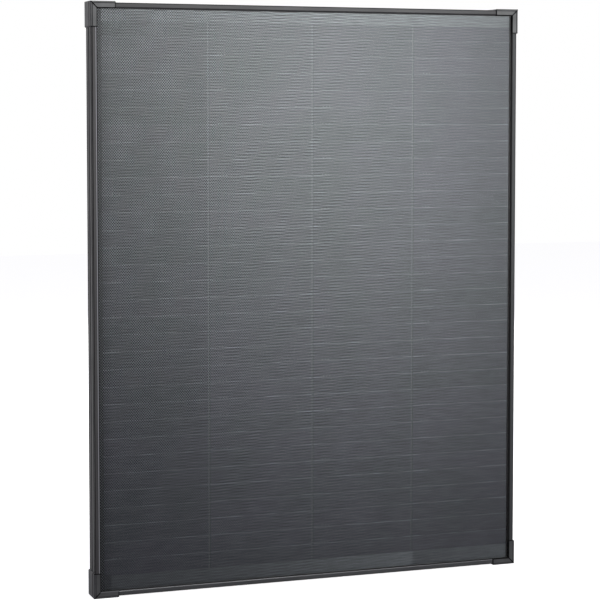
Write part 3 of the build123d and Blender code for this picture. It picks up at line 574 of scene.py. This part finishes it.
def make_black_film():
    """Black rear encapsulant. Beside and above the strings it carries a painted sheen like that of the
    cells.
    """
    g = Graph("encapsulant_black")
    x, _, z = g.xyz()
    _, in_column = column_place(g, x)
    right_of_start = g.math("GREATER_THAN", x, CELLS_LEFT)
    beside = g.multiply(right_of_start, g.math("GREATER_THAN", in_column, WAFER_WIDTH))
    above = g.multiply(right_of_start, g.math("GREATER_THAN", z, COVER_TOP))
    gap = g.most(beside, above)
    into_gap = g.remap(in_column, WAFER_WIDTH, STRING_PITCH, 0.0, 1.0)
    between = g.multiply(g.math("LESS_THAN", x, CELLS_RIGHT), g.subtract(1.0, above))
    far_side = g.multiply(g.remap(into_gap, 0.45, 0.65, 0.0, 1.0), between)
    sheen = g.mix(far_side, GAP_SHEEN, GAP_FAR_SHEEN)

    # in the margin left of the strings only the knots of the pressed texture shine: painted highlights
    knot_highlights = g.multiply(g.remap(diamonds(g), 0.0, 0.6, 0.0, 1.0), g.math("LESS_THAN", x, CELLS_LEFT))
    margin = g.mix(knot_highlights, MARGIN_BLACK, MARGIN_KNOT_HIGHLIGHTS)
    base = g.mix(gap, margin, g.times(sheen, lattice_light(g)))
    shiny = g.most(gap, knot_highlights)
    rough = g.remap(shiny, 0.0, 1.0, 0.5, CELL_ROUGHNESS)
    normal = g.bump(lattice(g), CELL_RISE)
    return g.finish(g.principled(Base_Color=base, Metallic=shiny, Roughness=rough, Normal=normal))


def make_cover_film(name, left_light, right_light, curve):
    """Grey film over the bus ribbons: the cells' sheen, with level ripples, and painted light that brightens
    it from left to right.
    """
    g = Graph(name)
    x, _, _ = g.xyz()
    ripple = g.noise(260.0, detail=3.0, roughness=0.6, stretch=(0.15, 1.0, 1.0))
    base = g.tones(g.spread(ripple), COVER_COLOUR, 0.10)
    base = g.times(base, lattice_light(g))
    # painted light: brighter from the left end to the right end
    rightward = g.math("POWER", g.remap(x, CELLS_LEFT, CELLS_RIGHT, 0.0, 1.0), curve)
    base = g.times(base, g.remap(rightward, 0.0, 1.0, left_light, right_light))
    normal = g.bump(ripple, 0.00002, g.bump(lattice(g), CELL_RISE))
    return g.finish(g.principled(Base_Color=base, Metallic=1.0, Roughness=CELL_ROUGHNESS, Normal=normal))


# ------------------------------------------------------------------ dressing the CAD nodes
dress(make_glass(), "front_glass")
dress(make_clear_film(), "encapsulant_front")
dress(make_cells(), *nodes_starting("cell_string"))
dress(make_black_film(), "encapsulant_rear")
dress(make_cover_film("cover_film_top", 0.90, 1.20, curve=1.0), "cover_strip_top")
dress(make_cover_film("cover_film_bottom", 1.05, 2.5, curve=2.2), "cover_strip_bottom")
backsheet_film = film(
    "backsheet_film", (0.76, 0.77, 0.775), 0.5, scale=220.0, depth=0.00003, mottle=0.015
)
dress(backsheet_film, "backsheet")
dress(film("insulation_film", (0.02, 0.02, 0.02), 0.5), "lead_insulation")
dress(film("label_film", (0.62, 0.64, 0.66), 0.4), "rating_label")
dress(make_rail_finish("frame_left", "Z", LEFT_COLOUR, LEFT_BEVEL_HIGHLIGHT, LEFT_BEVEL_WIDTH), "frame_rail_left")
dress(make_rail_finish("frame_right", "Z", RIGHT_COLOUR, RIGHT_BEVEL_SHADE), "frame_rail_right")
dress(make_rail_finish("frame_top", "X", TOP_COLOUR, UPPER_BEVEL_SHADE), "frame_rail_top")
dress(make_rail_finish("frame_bottom", "X", BOTTOM_COLOUR, LOWER_BEVEL_HIGHLIGHT), "frame_rail_bottom")
dress(make_protector_finish(), *nodes_starting("corner_protector"))
dress(drawn_metal("key_metal", (0.55, 0.55, 0.57), 0.35, "Z"), *nodes_starting("corner_key"))
seal_black = moulded("seal_black", (0.004, 0.004, 0.004), 0.7, grain=300.0, depth=0.00002)
dress(seal_black, *nodes_starting("frame_seal"))
# the top seal is painted grey: a painted highlight along the glass edge under the top rail
seal_highlight_grey = moulded("seal_highlight_grey", (0.12, 0.12, 0.12), 0.6, grain=300.0, depth=0.00002)
dress(seal_highlight_grey, "frame_seal_top")
ribbon_metal = drawn_metal("ribbon_metal", (0.72, 0.72, 0.70), 0.3, "X")
dress(ribbon_metal, *nodes_starting("bus_ribbon", "lead_ribbon"))
dress(moulded("box_plastic", (0.022, 0.022, 0.024), 0.5), "junction_box_base", "junction_box_lid")
gasket_rubber = moulded("gasket_rubber", (0.03, 0.03, 0.03), 0.7)
dress(gasket_rubber, "junction_box_gasket", *nodes_starting("gland_seal"))
box_adhesive = moulded("box_adhesive", (0.68, 0.68, 0.66), 0.6, grain=250.0, depth=0.0001)
dress(box_adhesive, "junction_box_adhesive")
gland_plastic = moulded("gland_plastic", (0.026, 0.026, 0.028), 0.45)
dress(gland_plastic, *nodes_starting("gland_body", "gland_nut", "gland_locknut"))
terminal_metal = drawn_metal("terminal_metal", (0.75, 0.73, 0.66), 0.28, "Z")
dress(terminal_metal, *nodes_starting("terminal_n", "terminal_p"))
dress(drawn_metal("screw_steel", (0.58, 0.58, 0.60), 0.3, "X"), "terminal_screws", "lid_hinge_pins")
dress(moulded("diode_body", (0.02, 0.02, 0.02), 0.35), "bypass_diode")

# ------------------------------------------------------------------ room: floor, lights, camera
MIDDLE = Vector((0.0, 0.0, 0.45))
FLOOR_SIZE = 14.0
FLOOR_GLOW = 0.9
ROOM_LIGHT = 0.09
CAMERA_PLACE = (-0.995, -2.729, 0.697)
CAMERA_TILT_DOWN = 3.60
CAMERA_TURN_RIGHT = 19.78
CAMERA_SENSOR = 36.0
CAMERA_LENS = 116.3
CAMERA_SHIFT = -0.10


def make_floor():
    bpy.ops.mesh.primitive_plane_add(size=FLOOR_SIZE, location=(0.0, 0.0, 0.0))
    floor = bpy.context.object
    floor.name = "floor"
    g = Graph("floor_paint")
    paint = g.tones(g.noise(0.8, detail=3.0), (0.82, 0.82, 0.82), 0.03)
    dull = g.node("ShaderNodeBsdfDiffuse", {"Color": paint}).outputs[0]
    glow = g.node("ShaderNodeEmission", {"Color": (1.0, 1.0, 1.0, 1.0), "Strength": FLOOR_GLOW}).outputs[0]
    floor.data.materials.append(g.finish(g.node("ShaderNodeAddShader", {0: dull, 1: glow}).outputs[0]))
    floor.visible_glossy = False
    floor.visible_diffuse = False


def softbox(name, place, width, height, power):
    """Rectangular area light aimed at the middle of the panel."""
    data = bpy.data.lights.new(name, "AREA")
    data.shape = "RECTANGLE"
    data.size = width
    data.size_y = height
    data.energy = power
    lamp = bpy.data.objects.new(name, data)
    lamp.location = place
    lamp.rotation_euler = (MIDDLE - Vector(place)).to_track_quat("-Z", "Y").to_euler()
    bpy.context.scene.collection.objects.link(lamp)


def make_world():
    """White where the camera sees it, and a weak bluish light on the object."""
    world = bpy.data.worlds.new("studio")
    bpy.context.scene.world = world
    world.use_nodes = True
    tree = world.node_tree
    tree.nodes.clear()
    seen = tree.nodes.new("ShaderNodeBackground")
    seen.inputs["Color"].default_value = (1.0, 1.0, 1.0, 1.0)
    unseen = tree.nodes.new("ShaderNodeBackground")
    unseen.inputs["Color"].default_value = (0.95, 0.91, 1.12, 1.0)
    unseen.inputs["Strength"].default_value = ROOM_LIGHT
    path = tree.nodes.new("ShaderNodeLightPath")
    choice = tree.nodes.new("ShaderNodeMixShader")
    output = tree.nodes.new("ShaderNodeOutputWorld")
    tree.links.new(path.outputs["Is Camera Ray"], choice.inputs[0])
    tree.links.new(unseen.outputs[0], choice.inputs[1])
    tree.links.new(seen.outputs[0], choice.inputs[2])
    tree.links.new(choice.outputs[0], output.inputs["Surface"])


def make_camera():
    data = bpy.data.cameras.new("camera")
    data.sensor_width = CAMERA_SENSOR
    data.lens = CAMERA_LENS
    data.shift_y = CAMERA_SHIFT
    camera = bpy.data.objects.new("camera", data)
    camera.location = CAMERA_PLACE
    camera.rotation_euler = (math.radians(90.0 - CAMERA_TILT_DOWN), 0.0, math.radians(-CAMERA_TURN_RIGHT))
    bpy.context.scene.collection.objects.link(camera)
    bpy.context.scene.camera = camera


make_floor()
softbox("tall_box", place=(0.94, -2.9, 1.23), width=0.58, height=0.84, power=11.1)
softbox("slim_box", place=(1.27, -2.9, 0.675), width=0.30, height=1.25, power=9.1)
softbox("left_fill", place=(-2.6, -2.0, 1.7), width=1.6, height=1.6, power=14.0)
softbox("overhead", place=(0.6, -1.2, 3.3), width=1.6, height=1.2, power=30.0)
softbox("edge_light", place=(3.2, 1.1, 0.6), width=1.2, height=1.5, power=20.0)
softbox("side_sheen", place=(-1.5, 3.0, 0.45), width=1.5, height=2.4, power=7.5)
softbox("back_fill", place=(0.8, 3.2, 1.8), width=2.0, height=2.0, power=60.0)
make_world()
make_camera()

view = bpy.context.scene.view_settings
view.view_transform = "Standard"
view.look = "None"
